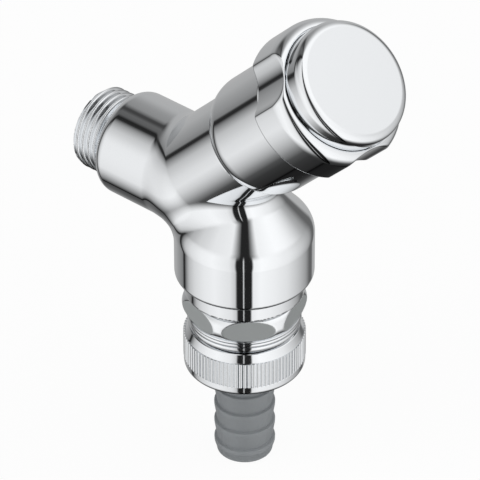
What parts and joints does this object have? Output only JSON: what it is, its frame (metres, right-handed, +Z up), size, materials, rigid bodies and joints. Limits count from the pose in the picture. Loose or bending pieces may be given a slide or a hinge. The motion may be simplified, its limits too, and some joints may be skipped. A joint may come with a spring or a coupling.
{
  "type": "vacuum breaker tap",
  "caption": "Wall tap for a hose: angled hand wheel with finger flutes, screwed-in vacuum breaker with check valve, knurled coupling nut and barbed hose tail.",
  "frame": {"origin": "middle of the shoulder behind the inlet thread, where the thread ends", "axes": "+X out of the wall along the inlet, +Z up, the hand wheel's axis leans forty-five degrees from +X to +Z"},
  "size_m": [0.0898, 0.0362, 0.1339],
  "materials": {
    "chromed_body": "bright chrome plating on cast brass",
    "chromed_sleeve": "bright chrome plating on drawn brass",
    "chromed_wheel": "bright chrome plating on a moulded ring",
    "chromed_cap": "bright chrome plating on a moulded cap",
    "chromed_breaker": "bright chrome plating on turned brass, duller milled flats",
    "chromed_nut": "bright chrome plating on turned and knurled brass",
    "bare_brass": "turned, unplated",
    "seal_rubber": "black nitrile rubber",
    "spring_steel": "stainless steel",
    "white_plastic": "moulded acetal",
    "soft_silicone": "soft silicone",
    "grey_plastic": "moulded grey polyamide"
  },
  "bodies": {
    "tap": {"valve_body": "chromed_body", "headwork_housing": "bare_brass", "headwork_seal": "seal_rubber", "bonnet_sleeve": "chromed_sleeve", "breaker_gasket": "seal_rubber", "breaker_housing": "chromed_breaker", "check_cage": "white_plastic", "cage_seal": "seal_rubber", "spring_spider": "white_plastic", "vent_sleeve": "soft_silicone", "check_spring": "spring_steel"},
    "handle": {"spindle": "bare_brass", "spindle_seals": "seal_rubber", "spindle_circlip": "spring_steel", "spline_insert": "white_plastic", "hand_wheel": "chromed_wheel", "wheel_screw": "spring_steel", "wheel_cap": "chromed_cap"},
    "piston": {"valve_piston": "bare_brass", "seat_washer": "seal_rubber", "washer_screw": "spring_steel"},
    "poppet": {"check_poppet": "white_plastic", "poppet_seal": "seal_rubber"},
    "union": {"hose_tail": "grey_plastic", "hose_washer": "seal_rubber"},
    "nut": {"coupling_nut": "chromed_nut"}
  },
  "joints": [
    {"name": "handle_turn", "type": "hinge", "parent": "tap", "child": "handle", "pos_m": [0.063, 0, 0.0396], "axis": [0.7071, 0, 0.7071], "range_deg": [0, 810]},
    {"name": "piston_lift", "type": "slide", "parent": "tap", "child": "piston", "axis": [0.7071, 0, 0.7071], "range_m": [0, 0.00455]},
    {"name": "poppet_travel", "type": "slide", "parent": "tap", "child": "poppet", "axis": [0, 0, -1], "range_m": [0, 0.003], "stiffness_N_per_m": 30, "springref_m": -0.002, "deforming": ["check_spring"]},
    {"name": "union_travel", "type": "slide", "parent": "tap", "child": "union", "axis": [0, 0, -1], "range_m": [0, 0.0052]},
    {"name": "nut_turn", "type": "hinge", "parent": "union", "child": "nut", "pos_m": [0.038, 0, -0.044], "axis": [0, 0, -1], "range_deg": [0, 1034]}
  ],
  "couplings": [
    {"joint": "piston_lift", "follows": "handle_turn", "m_per_rad": 0.00031831},
    {"joint": "nut_turn", "follows": "union_travel", "rad_per_m": 3463.7}
  ]
}
